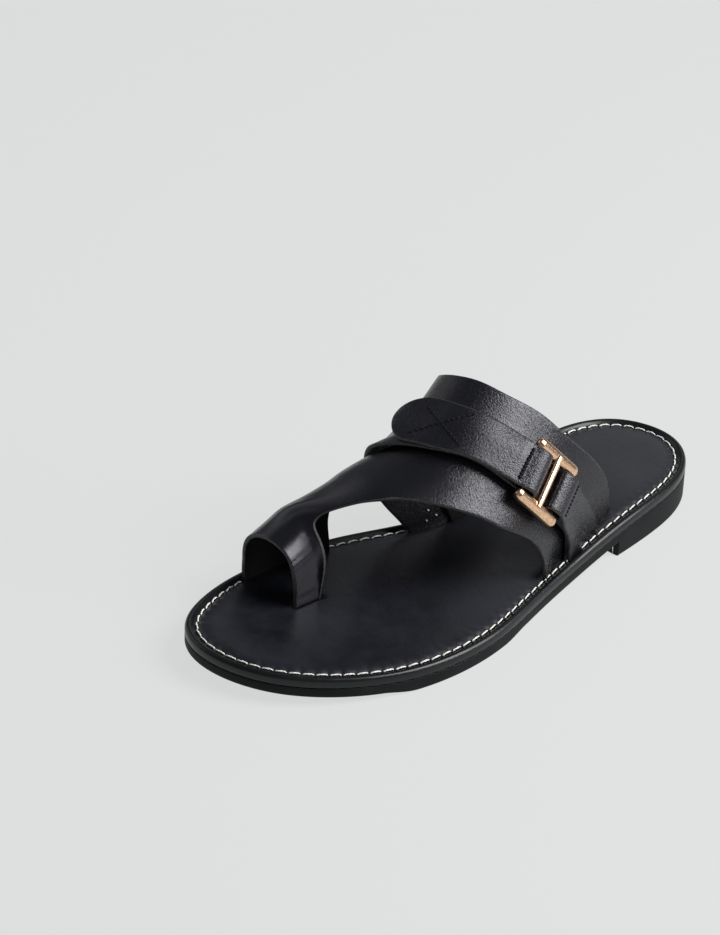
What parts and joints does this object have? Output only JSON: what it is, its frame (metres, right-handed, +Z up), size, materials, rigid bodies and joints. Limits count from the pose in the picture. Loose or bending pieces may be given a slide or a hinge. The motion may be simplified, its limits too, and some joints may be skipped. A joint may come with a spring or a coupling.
{
  "type": "toe loop sandal",
  "caption": "Flat slide sandal for a left foot with a loop for the big toe, a wide instep band and a folded strap held by a ladder buckle.",
  "frame": {"origin": "on the ground under the middle of the overall box", "axes": "+Z up, the toe points to -Y, the outer side of the foot is +X"},
  "size_m": [0.0975, 0.2524, 0.0841],
  "materials": {
    "heel_rubber": "matte moulded rubber",
    "rim_gloss": "glossy rolled edge",
    "footbed_leather": "satin smooth",
    "black_leather": "satin, fine pebble grain",
    "rose_gold": "polished rose gold plating"
  },
  "bodies": {
    "root": {"outsole": "heel_rubber", "rand": "rim_gloss", "footbed": "footbed_leather", "upper": "black_leather", "buckle_strap": "black_leather", "anchor_strap": "black_leather", "buckle": "rose_gold"}
  },
  "joints": []
}
